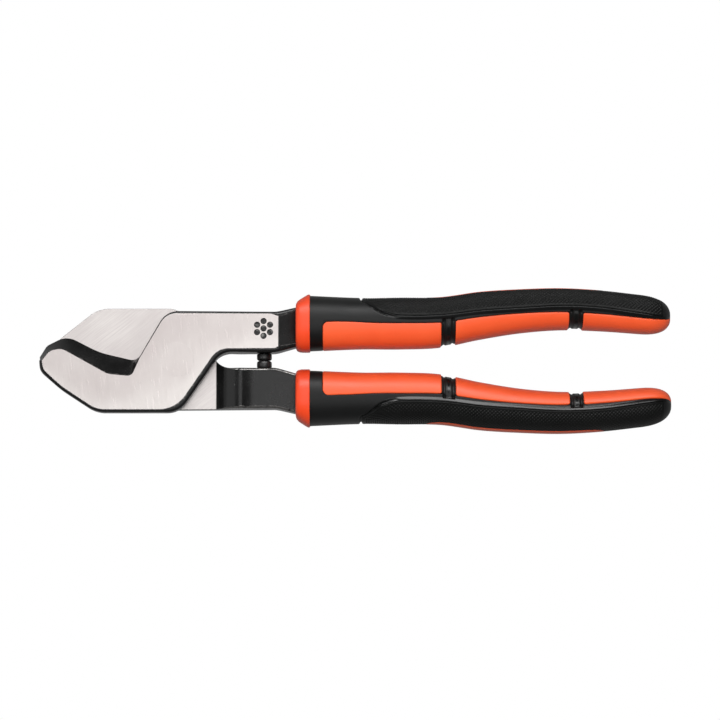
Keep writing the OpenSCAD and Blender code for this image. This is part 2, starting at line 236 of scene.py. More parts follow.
def grain_group():
    """Fine bumps as a normal, and a broad mottle as a value."""
    tree, given, result = group_with(
        "grain",
        [("Size", 0.0006), ("Height", 0.00002), ("Blotch", 0.012)],
        [("Normal", "NodeSocketVector"), ("Mottle", "NodeSocketFloat")],
    )
    nodes, links = tree.nodes, tree.links
    place = place_vector(nodes, links)
    fine = nodes.new("ShaderNodeTexNoise")
    fine.inputs["Detail"].default_value = 3
    links.new(place, fine.inputs["Vector"])
    links.new(math_node(nodes, links, "DIVIDE", 1.0, given.outputs["Size"]), fine.inputs["Scale"])
    broad = nodes.new("ShaderNodeTexNoise")
    broad.inputs["Detail"].default_value = 4
    links.new(place, broad.inputs["Vector"])
    links.new(math_node(nodes, links, "DIVIDE", 1.0, given.outputs["Blotch"]), broad.inputs["Scale"])
    bump = nodes.new("ShaderNodeBump")
    bump.inputs["Strength"].default_value = 1.0
    links.new(given.outputs["Height"], bump.inputs["Distance"])
    links.new(fine.outputs["Fac"], bump.inputs["Height"])
    links.new(bump.outputs["Normal"], result.inputs["Normal"])
    links.new(broad.outputs["Fac"], result.inputs["Mottle"])
    return tree


GRAIN = grain_group()
print("group:", GRAIN.name)

# %% [markdown]
# ## Belt scratches
# A grinding belt leaves long parallel scratches. They could be drawn as many thin lines, but noise
# that is stretched along one direction and squeezed across it looks the same and never repeats.
# Turning the space first sets the direction in which the belt ran.

# %% Belt scratches


def scratch_group():
    """Long scratches at an angle, as a normal and as a value."""
    tree, given, result = group_with(
        "belt_scratches",
        [("Angle", 0.0), ("Width", 0.00025), ("Length", 0.02), ("Depth", 0.000004)],
        [("Normal", "NodeSocketVector"), ("Streaks", "NodeSocketFloat")],
    )
    nodes, links = tree.nodes, tree.links
    turn = nodes.new("ShaderNodeVectorRotate")
    turn.rotation_type = "Z_AXIS"
    links.new(place_vector(nodes, links), turn.inputs["Vector"])
    links.new(given.outputs["Angle"], turn.inputs["Angle"])
    split = nodes.new("ShaderNodeSeparateXYZ")
    links.new(turn.outputs["Vector"], split.inputs["Vector"])
    join = nodes.new("ShaderNodeCombineXYZ")
    for axis, size in (("X", "Length"), ("Y", "Width"), ("Z", "Width")):
        scaled = math_node(nodes, links, "DIVIDE", split.outputs[axis], given.outputs[size])
        links.new(scaled, join.inputs[axis])
    lines = nodes.new("ShaderNodeTexNoise")
    lines.inputs["Scale"].default_value = 1.0
    lines.inputs["Detail"].default_value = 5
    lines.inputs["Roughness"].default_value = 0.65
    links.new(join.outputs["Vector"], lines.inputs["Vector"])
    bump = nodes.new("ShaderNodeBump")
    bump.inputs["Strength"].default_value = 1.0
    links.new(given.outputs["Depth"], bump.inputs["Distance"])
    links.new(lines.outputs["Fac"], bump.inputs["Height"])
    links.new(bump.outputs["Normal"], result.inputs["Normal"])
    links.new(lines.outputs["Fac"], result.inputs["Streaks"])
    return tree


SCRATCHES = scratch_group()
print("group:", SCRATCHES.name)

# %% [markdown]
# ## Worn edge
# Handling rubs the black skin off the edges first, and in patches. Finding edges in the shader
# would need a costly trick, so the mesh carries a mask of its own edges, and noise breaks the
# mask up, so that the wear isn't a drawn line.

# %% Worn edge


def wear_group():
    """How far the skin is worn off, from the mask named edge and a patchy noise."""
    tree, given, result = group_with(
        "worn_edge", [("Reach", 0.5), ("Patch", 0.004)], [("Worn", "NodeSocketFloat")]
    )
    nodes, links = tree.nodes, tree.links
    mask = nodes.new("ShaderNodeAttribute")
    mask.attribute_name = "edge"
    patch = nodes.new("ShaderNodeTexNoise")
    patch.inputs["Detail"].default_value = 5
    links.new(place_vector(nodes, links), patch.inputs["Vector"])
    links.new(math_node(nodes, links, "DIVIDE", 1.0, given.outputs["Patch"]), patch.inputs["Scale"])
    reach = math_node(nodes, links, "MULTIPLY", mask.outputs["Fac"], given.outputs["Reach"])
    worn = math_node(nodes, links, "ADD", reach, patch.outputs["Fac"])
    sharp = nodes.new("ShaderNodeMapRange")
    sharp.inputs["From Min"].default_value = 0.72
    sharp.inputs["From Max"].default_value = 0.95
    links.new(worn, sharp.inputs["Value"])
    links.new(sharp.outputs["Result"], result.inputs["Worn"])
    return tree


WEAR = wear_group()
print("group:", WEAR.name)

# %% [markdown]
# ## Helpers for materials
# Every finish here is one Principled shader. These helpers place a group with its values, colour
# a mask through a ramp, and move a mask to another range, so that a material reads as a short
# list of what it does.

# %% Helpers for materials


def place_group(nodes, tree, **values):
    node = nodes.new("ShaderNodeGroup")
    node.node_tree = tree
    for name, value in values.items():
        node.inputs[name].default_value = value
    return node


def ramp(nodes, links, value, stops):
    """Colour ramp on value; stops are (place, colour)."""
    node = nodes.new("ShaderNodeValToRGB")
    elements = node.color_ramp.elements
    for number, (place, colour) in enumerate(stops):
        element = elements[number] if number < 2 else elements.new(place)
        element.position = place
        element.color = (*colour, 1)
    links.new(value, node.inputs["Fac"])
    return node.outputs["Color"]


def spread(nodes, links, value, low_value, high_value, start=0.0, stop=1.0):
    """Value moved from the range start..stop to low_value..high_value."""
    node = nodes.new("ShaderNodeMapRange")
    for name, number in (
        ("From Min", start),
        ("From Max", stop),
        ("To Min", low_value),
        ("To Max", high_value),
    ):
        node.inputs[name].default_value = number
    links.new(value, node.inputs["Value"])
    return node.outputs["Result"]


def principled(nodes, links, **values):
    """The Principled BSDF with its plain values, joined to the output."""
    shader = nodes.new("ShaderNodeBsdfPrincipled")
    for name, value in values.items():
        shader.inputs[name.replace("_", " ")].default_value = value
    out = nodes.new("ShaderNodeOutputMaterial")
    links.new(shader.outputs["BSDF"], out.inputs["Surface"])
    return shader


def mixed(nodes, links, factor, first, second):
    """Colour between first and second, which are colours or sockets."""
    node = nodes.new("ShaderNodeMix")
    node.data_type = "RGBA"
    links.new(factor, node.inputs["Factor"])
    for socket_name, colour in (("A", first), ("B", second)):
        if isinstance(colour, tuple):
            node.inputs[socket_name].default_value = (*colour, 1)
        else:
            links.new(colour, node.inputs[socket_name])
    return node.outputs["Result"]


print("material helpers ready")

# %% [markdown]
# ## Ground steel
# The outer faces are ground and lightly polished, and the inner faces were ground on a coarser
# belt that ran across them at an angle. A plain shiny metal would look like a mirror. Scratches
# that bend the reflection a little, and that also change its tone, give the soft silver of a belt.
# The mask named rim is painted reflection, lighter towards the back and darker near the edge.

# %% Ground steel


def ground_steel(name, angle, width, length, depth, tint, dark, roughness, streaks=(0.7, 1.1)):
    """Belt-ground steel between the tones dark and tint, lightened and darkened by the painted reflection in
    rim.
    """
    material, nodes, links = new_material(name)
    shader = principled(nodes, links, Metallic=1.0)
    scratches = place_group(nodes, SCRATCHES, Angle=angle, Width=width, Length=length, Depth=depth)
    grain = place_group(nodes, GRAIN, Size=0.0005, Height=0.000001, Blotch=0.03)
    rim = nodes.new("ShaderNodeAttribute")
    rim.attribute_name = "rim"
    cloud = spread(nodes, links, grain.outputs["Mottle"], 0.25, 0.85, 0.35, 0.65)
    streak = spread(nodes, links, scratches.outputs["Streaks"], *streaks, 0.3, 0.7)
    both = math_node(nodes, links, "MULTIPLY", cloud, streak)
    # Painted reflection: the mask rim lightens and darkens the steel colour
    tone = math_node(nodes, links, "ADD", both, rim.outputs["Fac"])
    links.new(mixed(nodes, links, tone, dark, tint), shader.inputs["Base Color"])
    dullest, shiniest = roughness + 0.1, roughness - 0.06
    rough = spread(nodes, links, scratches.outputs["Streaks"], shiniest, dullest, 0.3, 0.7)
    links.new(rough, shader.inputs["Roughness"])
    links.new(scratches.outputs["Normal"], shader.inputs["Normal"])
    return material


FACE_STEEL = ground_steel(
    "polished_face", math.radians(82), 0.0005, 0.01, 0.0000006,
    tint=(0.66, 0.62, 0.60), dark=(0.52, 0.47, 0.46), roughness=0.31, streaks=(0.92, 1.02),
)
INNER_STEEL = ground_steel(
    "ground_inner_face", math.radians(-38), 0.0003, 0.012, 0.0000025,
    tint=(0.70, 0.665, 0.645), dark=(0.50, 0.455, 0.45), roughness=0.34, streaks=(0.25, 1.45),
)
STUD_STEEL = ground_steel(
    "stud_steel", math.radians(90), 0.0002, 0.01, 0.000001,
    tint=(0.10, 0.10, 0.10), dark=(0.05, 0.05, 0.05), roughness=0.4,
)
print("ground steels:", [m.name for m in (FACE_STEEL, INNER_STEEL, STUD_STEEL)])

# %% [markdown]
# ## Black oxide
# Everything that the belt didn't touch kept a thin black oxide skin, which isn't a metal to the
# eye. Black paint would do from afar, but on the edges the skin wears through to bare grey steel,
# so the wear mask moves both the colour and the metallic value there.

# %% Black oxide
BARE_STEEL = (0.16, 0.155, 0.15)


def black_oxide():
    """Black skin that is worn to bare steel where the wear group says so."""
    material, nodes, links = new_material("black_oxide")
    shader = principled(nodes, links, Specular_IOR_Level=0.35)
    grain = place_group(nodes, GRAIN, Size=0.0004, Height=0.00001, Blotch=0.006)
    wear = place_group(nodes, WEAR, Reach=0.4, Patch=0.0015)
    skin = ramp(
        nodes, links, grain.outputs["Mottle"], [(0.3, (0.005, 0.005, 0.005)), (0.7, (0.009, 0.009, 0.009))]
    )
    worn = wear.outputs["Worn"]
    links.new(mixed(nodes, links, worn, skin, BARE_STEEL), shader.inputs["Base Color"])
    links.new(spread(nodes, links, worn, 0.0, 0.8), shader.inputs["Metallic"])
    gloss = spread(nodes, links, grain.outputs["Mottle"], 0.2, 0.3, 0.3, 0.7)
    links.new(gloss, shader.inputs["Roughness"])
    links.new(grain.outputs["Normal"], shader.inputs["Normal"])
    return material


OXIDE = black_oxide()
print("finish:", OXIDE.name)

# %% [markdown]
# ## Moulded finishes
# The orange parts are a satin plastic and the black ones a soft rubber. Both come out of a
# blasted mould, so they carry a very fine grain and are a little uneven in gloss. One function
# serves both, because only colour, grain and shine differ. The mask named edge marks beads, ribs
# and knurl tips, which hands have rubbed smooth.

# %% Moulded plastic and rubber
RUBBED = 0.28                                 # how much smoother a fully rubbed place is


def moulded(name, light, dark, gloss, grain_size, grain_height, shine):
    """A moulded surface between two tones, with roughness between the two values of gloss."""
    material, nodes, links = new_material(name)
    shader = principled(nodes, links, Specular_IOR_Level=shine)
    grain = place_group(nodes, GRAIN, Size=grain_size, Height=grain_height, Blotch=0.009)
    tone = ramp(nodes, links, grain.outputs["Mottle"], [(0.3, dark), (0.7, light)])
    links.new(tone, shader.inputs["Base Color"])
    polish = nodes.new("ShaderNodeAttribute")
    polish.attribute_name = "edge"
    dull = spread(nodes, links, grain.outputs["Mottle"], *gloss, 0.3, 0.7)
    smoother = math_node(nodes, links, "MULTIPLY", polish.outputs["Fac"], RUBBED)
    links.new(math_node(nodes, links, "SUBTRACT", dull, smoother), shader.inputs["Roughness"])
    links.new(grain.outputs["Normal"], shader.inputs["Normal"])
    return material


ORANGE_HARD = moulded(
    "orange_collar", light=(0.92, 0.075, 0.018), dark=(0.87, 0.062, 0.014), gloss=(0.38, 0.46),
    grain_size=0.0004, grain_height=0.000006, shine=0.42,
)
ORANGE_SOFT = moulded(
    "orange_inlay", light=(0.94, 0.115, 0.03), dark=(0.90, 0.10, 0.025), gloss=(0.42, 0.50),
    grain_size=0.0005, grain_height=0.000008, shine=0.48,
)
BLACK_SKIN = moulded(
    "black_rubber", light=(0.006, 0.0062, 0.0062), dark=(0.0042, 0.0044, 0.0044), gloss=(0.44, 0.52),
    grain_size=0.0004, grain_height=0.00001, shine=0.3,
)
PAD_RUBBER = moulded(
    "knurled_rubber", light=(0.006, 0.0062, 0.006), dark=(0.004, 0.0042, 0.004), gloss=(0.40, 0.50),
    grain_size=0.0003, grain_height=0.000008, shine=0.17,
)
print("moulded finishes:", [m.name for m in (ORANGE_HARD, ORANGE_SOFT, BLACK_SKIN, PAD_RUBBER)])

# %% [markdown]
# ## Grids
# Forgings and mouldings are swept shapes: their skin runs between sections along the tool. Boxes
# and cylinders that are bent afterwards never quite follow such a shape, so every piece here is a
# grid of points through its own sections, and one helper turns a grid into faces.

# %% Grids


def grid_faces(rows, cols, first=0, wrap=False, flip=False):
    """Quads of a grid whose points are numbered row by row from first."""
    faces = []
    for i in range(rows - 1):
        for j in range(cols if wrap else cols - 1):
            a = first + i * cols + j
            b = first + i * cols + (j + 1) % cols
            quad = (a, b, b + cols, a + cols)
            faces.append(quad[::-1] if flip else quad)
    return faces


def ring_solid(rings, close_start=True, close_end=True):
    """Points and faces of a solid through closed rings, with a fan at each closed end."""
    rows, cols = rings.shape[:2]
    faces = grid_faces(rows, cols, wrap=True)
    points = [rings.reshape(-1, 3)]
    tip = rows * cols
    for wanted, row, flip in ((close_start, 0, True), (close_end, rows - 1, False)):
        if wanted:
            points.append(rings[row].mean(axis=0)[None])
            for j in range(cols):
                a, b = row * cols + j, row * cols + (j + 1) % cols
                faces.append((b, a, tip) if flip else (a, b, tip))
            tip += 1
    return np.concatenate(points), faces


print("grid helpers ready")

# %% [markdown]
# ## Pieces
# A piece is one closed mesh with its finishes. It stands for one node of the frame and rides the
# body of that node, so the joint moves it. Shading is smooth, and an angle says which edges stay
# sharp. Holes are cut with a Boolean, because a round hole through a grid of sections would need
# the grid to bend round it. Points that a grid makes twice are welded.

# %% Pieces


def make_piece(
    name, points_mm, faces, body, slot, nodes, materials, numbers=None, edge=None, rim=None,
    cutters=(), sharp=32, weld=False,
):
    """Piece from points in millimetres, which rides on body and stands for the CAD nodes."""
    mesh = bpy.data.meshes.new(name)
    mesh.from_pydata((np.asarray(points_mm) * MM).tolist(), [], faces)
    for material in materials:
        mesh.materials.append(material)
    if numbers is not None:
        mesh.polygons.foreach_set("material_index", np.asarray(numbers, dtype=np.int32))
    # The mask rim carries painted reflection for the ground steel
    for mask_name, values in (("edge", edge), ("rim", rim)):
        if values is not None:
            mask = mesh.attributes.new(mask_name, "FLOAT", "POINT")
            mask.data.foreach_set("value", np.asarray(values, dtype=np.float32).ravel())
    if weld:
        shape = bmesh.new()
        shape.from_mesh(mesh)
        bmesh.ops.remove_doubles(shape, verts=shape.verts, dist=0.000002)
        shape.to_mesh(mesh)
        shape.free()
    mesh.validate()
    piece = bpy.data.objects.new(name, mesh)
    bpy.context.scene.collection.objects.link(piece)
    for cutter in cutters:
        cut_away(piece, cutter)
    piece.data.name = name
    piece.data.polygons.foreach_set("use_smooth", [True] * len(piece.data.polygons))
    piece.data.set_sharp_from_angle(angle=math.radians(sharp))
    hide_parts(*nodes)
    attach(piece, body)
    return piece


def cut_away(piece, solid):
    """Take a solid, given in millimetres, away from a piece."""
    mesh = bpy.data.meshes.new("cutter")
    mesh.from_pydata((solid[0] * MM).tolist(), [], solid[1])
    tool = bpy.data.objects.new("cutter", mesh)
    bpy.context.scene.collection.objects.link(tool)
    cut = piece.modifiers.new("cut", "BOOLEAN")
    cut.operation, cut.solver, cut.object = "DIFFERENCE", "EXACT", tool
    cut.use_self = True
    bpy.context.view_layer.update()
    graph = bpy.context.evaluated_depsgraph_get()
    done = bpy.data.meshes.new_from_object(piece.evaluated_get(graph))
    piece.modifiers.clear()
    piece.data = done
    bpy.data.objects.remove(tool)


def turned_over(points_mm, face_z):
    """The lower grip and the rear half are the upper ones turned over about the X axis."""
    flipped = np.array(points_mm, dtype=float)
    flipped[..., 1] *= -1
    flipped[..., 2] = face_z - flipped[..., 2]
    return flipped


print("piece helpers ready")

# %% [markdown]
# ## The two steel halves
# Each half is one forging with its jaw, neck and tang. Seen from above it has four outlines: the
# cutting side and the back, each once for the full width and once for the polished face. They
# could be drawn as free curves, but a toolmaker sets straight runs with a radius at each corner,
# so each outline is a list of corners (x, y, radius) in millimetres.

# %% Outlines of a half
FACE_Z, MID_Z = 11.0, 5.5                     # the outer face, and the plane between the halves
SHOULDER_X, CREST_X = 14.9, 24.3              # where a half steps up behind the head, and ends to
FACE_STOP, HALF_STOP = 38.7, 45.2             # end of the polished face, and of the half
NOSE_X = -52.9
EDGE_PATH = [
    (-53, 1.2, 0), (-50.2, 5.8, 4), (-42.6, 9.6, 7.5), (-30, 3.2, 30), (-15.2, -0.3, 4.5),
    (-4.3, 18.75, 8), (38, 18.45, 12), (45.2, 20.3, 0),
]
BACK_PATH = [
    (-53, 1.2, 0), (-52.6, -4.2, 5), (-44.3, -11.4, 40), (-30.9, -20.15, 12), (0.96, -20.15, 9),
    (16.82, 3.1, 7.5), (37.5, 2.8, 12), (45.2, 5, 0),
]
EDGE_FACE_PATH = [
    (-51.5, -0.4, 0), (-48.6, 3.3, 4), (-44.1, 4.2, 5), (-26.4, -5.6, 8), (-17.3, -6.4, 2.5),
    (-14.3, 0.5, 8), (-4.3, 17.75, 7), (36, 17.6, 5), (38.7, 16.4, 3), (45.2, 18.9, 0),
]
BACK_FACE_PATH = [
    (-51.5, -0.4, 0), (-51, -3.8, 4), (-44, -10.2, 40), (-30.6, -19.05, 11), (-0.49, -19.05, 12),
    (15.4, 4.3, 8), (37.2, 4.4, 3), (38.7, 5.2, 2), (45.2, 6.4, 0),
]
# The rear jaw is a little narrower at the nose and deeper at the belly
REAR_BACK_PATH = [
    (-53, 1.2, 0), (-51.5, -2.0, 4), (-44.9, -8.8, 30), (-30.6, -20.2, 12), (0.96, -20.2, 9),
    *BACK_PATH[5:],
]
REAR_BACK_FACE_PATH = [
    (-51.5, -0.4, 0), (-50.2, -2.0, 3), (-44.2, -8.0, 30), (-30.3, -18.9, 11), (-0.49, -18.9, 12),
    *BACK_FACE_PATH[5:],
]


def unit(v):
    return v / np.linalg.norm(v)


def rounded_outline(path, arc_points=11):
    """Points of a path of corners (x, y, radius) with each corner rounded."""
    points = []
    for number, (x, y, radius) in enumerate(path):
        corner = np.array((x, y), float)
        if radius == 0:
            points.append(corner)
            continue
        u = unit(np.array(path[number - 1][:2]) - corner)
        v = unit(np.array(path[number + 1][:2]) - corner)
        half = math.acos(np.clip(u @ v, -1, 1)) / 2
        centre = corner + unit(u + v) * radius / math.sin(half)
        start = corner + u * radius / math.tan(half) - centre
        way = math.copysign(1, start[0] * (v - u)[1] - start[1] * (v - u)[0])
        for k in range(arc_points):
            a = way * (math.pi - 2 * half) * k / (arc_points - 1)
            c, s = math.cos(a), math.sin(a)
            points.append(centre + np.array((start[0] * c - start[1] * s, start[0] * s + start[1] * c)))
    return np.array(points)


def lookup(x, rows):
    """Value at x on straight lines between the rows (x, value)."""
    rows = np.asarray(rows, float)
    return np.interp(x, rows[:, 0], rows[:, 1])


EDGE, EDGE_FACE = rounded_outline(EDGE_PATH), rounded_outline(EDGE_FACE_PATH)
FRONT_BACK = (rounded_outline(BACK_PATH), rounded_outline(BACK_FACE_PATH))
REAR_BACK = (rounded_outline(REAR_BACK_PATH), rounded_outline(REAR_BACK_FACE_PATH))
# How far the inner side of the tang lies behind the plane between the halves
RAMP = [
    (SHOULDER_X, 0), (16, 1.15), (17.5, 2.45), (19, 3.4), (20.5, 4.15), (22, 4.7), (23.5, 5.0), (24.4, 5.02),
    (25.0, 4.9), (26.5, 4.45), (28, 4.08), (29.5, 3.88), (33, 3.68), (37, 3.55), (HALF_STOP, 3.3),
]
print("outline points:", len(EDGE), len(EDGE_FACE), len(FRONT_BACK[0]), len(FRONT_BACK[1]))

# %% [markdown]
# ## Sections of a half
# A forging blank could be extruded and then bevelled, but the hollow bevel of the cutting edge
# fades into a rolled edge along the tang, which no even bevel does. So every section is written
# point by point: flat inner side, cutting side, bevel, outer face and back. Edges are rolled over
# a little, because a belt-ground edge is never sharp.

# %% Sections of a half
RUNNING_GAP = 0.02                            # each half stays this far from the plane between them


def bend(a, b, c, steps):
    """Points of a bend from a to c that is drawn towards b, without its two ends."""
    t = (np.arange(1, steps) / steps)[None, :, None]
    return a[:, None] * (1 - t) ** 2 + 2 * b[:, None] * t * (1 - t) + c[:, None] * t**2


def half_stations():
    """Places of the sections, closer together at the nose and on the steep diagonals."""
    spans = [
        (-52.9, -52, 0.1), (-52, -48, 0.2), (-48, -19, 0.5), (-19, -3, 0.25), (-3, 1, 0.5),
        (1, 17, 0.25), (17, 27, 0.4), (27, 36, 0.75), (36, 45.3, 0.25),
    ]
    return np.concatenate([np.arange(a, b - 1e-6, step) for a, b, step in spans] + [[HALF_STOP]])


def painted_reflection_tone(x, t):
    """Painted reflection on the outer face at a share t from edge to back: lighter towards the back, darker
    near the cutting side.
    """
    # painted shade on the cutting side of the face, near the rivet
    painted_shade = 0.6 * np.exp(-(((x - 3) / 15) ** 2)) * max(0.0, 1 - t / 0.45)
    return 0.6 * max(0.0, (t - 0.5) / 0.5) ** 1.5 - painted_shade


def half_solid(back, back_face):
    """Points, faces, material numbers and masks of a half with the given outlines of its back."""
    x = half_stations()
    f = x + lookup(x, [(NOSE_X, 1.45), (-44, 0)])
    e, b = np.interp(x, *EDGE.T), np.interp(x, *back.T)
    ef, bf = np.interp(f, *EDGE_FACE.T), np.interp(f, *back_face.T)
    low_z = MID_Z + RUNNING_GAP - lookup(x, RAMP)
    top_z = lookup(x, [(FACE_STOP, FACE_Z), (HALF_STOP, FACE_Z - 1.4)])
    # Height at which each side turns into its bevel, size of the inner rounding, how far the
    # bevel has become a rolled edge, and how hollow it is
    edge_wall = lookup(x, [(-17, MID_Z + 0.4), (-13, 9.8), (FACE_STOP, 9.8), (HALF_STOP, 8.2)])
    back_wall = lookup(x, [(NOSE_X, 7), (-48, 10), (FACE_STOP, 10), (HALF_STOP, 8.2)])
    c = np.minimum(lookup(x, [(SHOULDER_X, 0.1), (CREST_X, 1.2)]), (e - b) / 4)
    inset = np.minimum(0.4, (e - b - 2 * c) / 4)
    roll = lookup(x, [(-18, 0.0), (-13, 1.0)])
    hollow = 0.25 * (1 - roll)

    def at(px, py, pz):
        return np.stack([px, py, pz], axis=-1)

    wall_top, face_edge = at(x, e, edge_wall), at(f, ef, top_z)
    straight = (wall_top + face_edge) / 2 - at(0 * x, hollow * 0, hollow)
    corner = at(x, e, top_z)
    control = straight * (1 - roll)[:, None] + corner * roll[:, None]
    back_top, face_back = at(x, b, back_wall), at(f, bf, top_z)
    across = (0.02, 0.07, 0.15, 0.3, 0.5, 0.7, 0.85, 0.93, 0.98)
    # Each run of points, how worn it is, and how much painted reflection it carries
    runs = [
        (at(x, b + c, low_z)[:, None], 0, 0),
        (at(x, b + c + inset, low_z)[:, None], 0, 0),
        (at(x, e - c - inset, low_z)[:, None], 0, 0),
        (at(x, e - c, low_z)[:, None], 0, 0),
        (bend(at(x, e - c, low_z), at(x, e, low_z), at(x, e, low_z + c), 6), 1, 0),
        (at(x, e, low_z + c)[:, None], 0, 0),
        (wall_top[:, None], 0, 0),
        (bend(wall_top, control, face_edge, 8), 0, 0),
        (face_edge[:, None], 1, 0),
        *[
            ((face_edge * (1 - t) + face_back * t)[:, None], 0, painted_reflection_tone(x, t)[:, None])
            for t in across
        ],
        (face_back[:, None], 1, painted_reflection_tone(x, 1.0)[:, None]),
        (bend(face_back, at(x, b, top_z), back_top, 6), 0, 0),
        (back_top[:, None], 0, 0),
        (at(x, b, low_z + c)[:, None], 0, 0),
        (bend(at(x, b, low_z + c), at(x, b, low_z), at(x, b + c, low_z), 6), 1, 0),
    ]
    rings = np.concatenate([run for run, _, _ in runs], axis=1)
    worn = np.concatenate([np.full(run.shape[:2], w, float) for run, w, _ in runs], axis=1)
    painted_reflection = np.concatenate([np.full(run.shape[:2], 1.0) * r for run, _, r in runs], axis=1)
    points, faces = ring_solid(rings)
    heights = points[:, 2]
    numbers = []
    for face in faces:
        z = heights[list(face)]
        far = points[list(face), 0].max()
        polished = z.min() > FACE_Z - 0.001 and far <= FACE_STOP + 0.01
        ground = abs(z - MID_Z - RUNNING_GAP).max() < 0.001 and far <= SHOULDER_X + 0.01
        numbers.append(1 if polished else 2 if ground else 0)
    masks = [np.concatenate([m.ravel(), np.zeros(len(points) - m.size)]) for m in (worn, painted_reflection)]
    return points, faces, numbers, masks


print("sections of a half:", len(half_stations()))

# %% [markdown]
# ## Rivet, bar and mark
# The head turns on a rivet with two sunk heads, ground flush so that it nearly disappears. It is a
# turned part, so a profile goes round an axis, and the same profile with a little clearance cuts
# the hole. The bar inside a grip is the end of the forging. A ring of seven round dimples, like
# the end of a stranded cable, marks the front half.

# %% Rivet, bar and mark
BAR_SIDE = [(44.2, 9.4), (100, 9.6), (140, 16.2), (140, 22.2), (100, 19.6), (44.2, 19.4)]
BAR_Z = (2.6, 8.6)
RIVET_R, RIVET_HEAD_R, RIVET_SINK = 5.0, 6.4, 1.6
RIVET_FIT = 0.01


def bar_solid():
    """The bar inside a grip, which goes on from the tang."""
    return ring_solid(np.array([[(px, py, z) for px, py in BAR_SIDE] for z in BAR_Z]))


def turned_profile(profile, sides=96):
    """Solid of revolution about Z through points (radius, height)."""
    a = np.arange(sides) * 2 * math.pi / sides
    rings = np.array([[(r * math.cos(t), r * math.sin(t), z) for t in a] for r, z in profile])
    return ring_solid(rings)


def joined_solids(*solids):
    """Several solids as one set of points and faces."""
    points, faces, first = [], [], 0
    for solid_points, solid_faces in solids:
        points.append(solid_points)
        faces += [tuple(v + first for v in face) for face in solid_faces]
        first += len(solid_points)
    return np.concatenate(points), faces


def moved(solid, by):
    return solid[0] + np.array(by, float), solid[1]


def rivet_profile(fit=0.0):
    return [
        (RIVET_HEAD_R + fit, 0), (RIVET_R + fit, RIVET_SINK), (RIVET_R + fit, FACE_Z - RIVET_SINK),
        (RIVET_HEAD_R + fit, FACE_Z),
    ]


def rivet_cutter():
    """The rivet with its fit, and a little longer than the head is thick."""
    wide = RIVET_HEAD_R + RIVET_FIT
    return turned_profile([(wide, -0.5), *rivet_profile(RIVET_FIT), (wide, FACE_Z + 0.5)])


MARK_AT, MARK_STEP, MARK_R, MARK_DEPTH = (32.9, 11.9), 2.85, 1.2, 0.3
DIMPLE = [(MARK_R - 0.25, FACE_Z - MARK_DEPTH), (MARK_R, FACE_Z), (MARK_R, FACE_Z + 1)]
mark_spots = [(0, 0)]
for turn in range(30, 390, 60):
    around = math.radians(turn)
    mark_spots.append((MARK_STEP * math.cos(around), MARK_STEP * math.sin(around)))
mark = joined_solids(
    *[moved(turned_profile(DIMPLE, 24), (MARK_AT[0] + px, MARK_AT[1] + py, 0)) for px, py in mark_spots]
)
print("mark:", len(mark[0]), "points")

# %% [markdown]
# ## Build the halves and the rivet
# The rear half is the front one turned over, with its own back outline at the jaw. The rivet is
# tight in the rear half, so it rides with that body.

# %% Halves and rivet


def steel_half(name, body, node, over, with_mark):
    """A half with its bar, the rivet hole and, on the front one, the mark."""
    half = half_solid(*(REAR_BACK if over else FRONT_BACK))
    blank, bar = half[:2], bar_solid()
    points, faces = joined_solids(blank, bar)
    numbers = half[2] + [0] * len(bar[1])
    # worn edges, and the painted reflection of the outer face
    worn, painted_reflection = (np.concatenate([m, np.zeros(len(bar[0]))]) for m in half[3])
    cutters = [rivet_cutter()] + ([mark] if with_mark else [])
    if over:
        points = turned_over(points, FACE_Z)
    return make_piece(
        name, points, faces, body, "ground_steel", [node], [OXIDE, FACE_STEEL, INNER_STEEL],
        numbers, worn, painted_reflection, cutters=cutters,
    )


front_half = steel_half("front_half_steel", FRONT_BODY, "front_half", False, True)
rear_half = steel_half("rear_half_steel", REAR_BODY, "rear_half", True, False)
rivet = make_piece(
    "rivet", *turned_profile(rivet_profile(), 96),
    REAR_BODY, "rivet_steel", ["pivot_rivet"], [FACE_STEEL],
)
print("faces:", {piece.name: len(piece.data.polygons) for piece in (front_half, rear_half, rivet)})

# %% [markdown]
# ## Stop studs
# Two short studs meet when the jaws are closed and stop the handles. Each is a turned pin with a
# rounded tip and a neck at the tang, so a profile again goes round an axis, laid along Y.

# %% Stop studs
STUD_X = 33.1


def stud_solid():
    """Stop stud along Y, with a rounded tip and a neck where it enters the tang."""
    tip = [(2.0, 0.1), (2.35, 0.16), (2.65, 0.36), (2.82, 0.68), (2.85, 1.0)]
    neck = [(2.85, 2.3), (2.7, 2.6), (2.2, 2.75), (2.0, 2.9), (2.0, 10.5)]
    points, faces = turned_profile(tip + neck, 48)
    along_y = np.stack([points[:, 0], points[:, 2], -points[:, 1]], axis=-1)
    return along_y + np.array((STUD_X, 0, MID_Z)), faces


stud = stud_solid()
upper_stud = make_piece(
    "upper_stud", *stud, FRONT_BODY, "stud_steel", ["upper_stop_stud"], [STUD_STEEL]
)
lower_stud = make_piece(
    "lower_stud", turned_over(stud[0], FACE_Z), stud[1], REAR_BODY, "stud_steel", ["lower_stop_stud"],
    [STUD_STEEL],
)
print("studs:", upper_stud.name, lower_stud.name)

# %% [markdown]
# ## The shape of a grip
# A grip is moulded in several shots. The hard orange collar and sleeve go on the bar first, the
# black rubber skin round them, and the orange inlays, the knurled pads and the spine strip lie in
# the skin. Separate sculpted shapes would never meet cleanly, so they all share one outer surface.
# It takes a place along the tool, a distance round the section from its outer edge, and a depth.

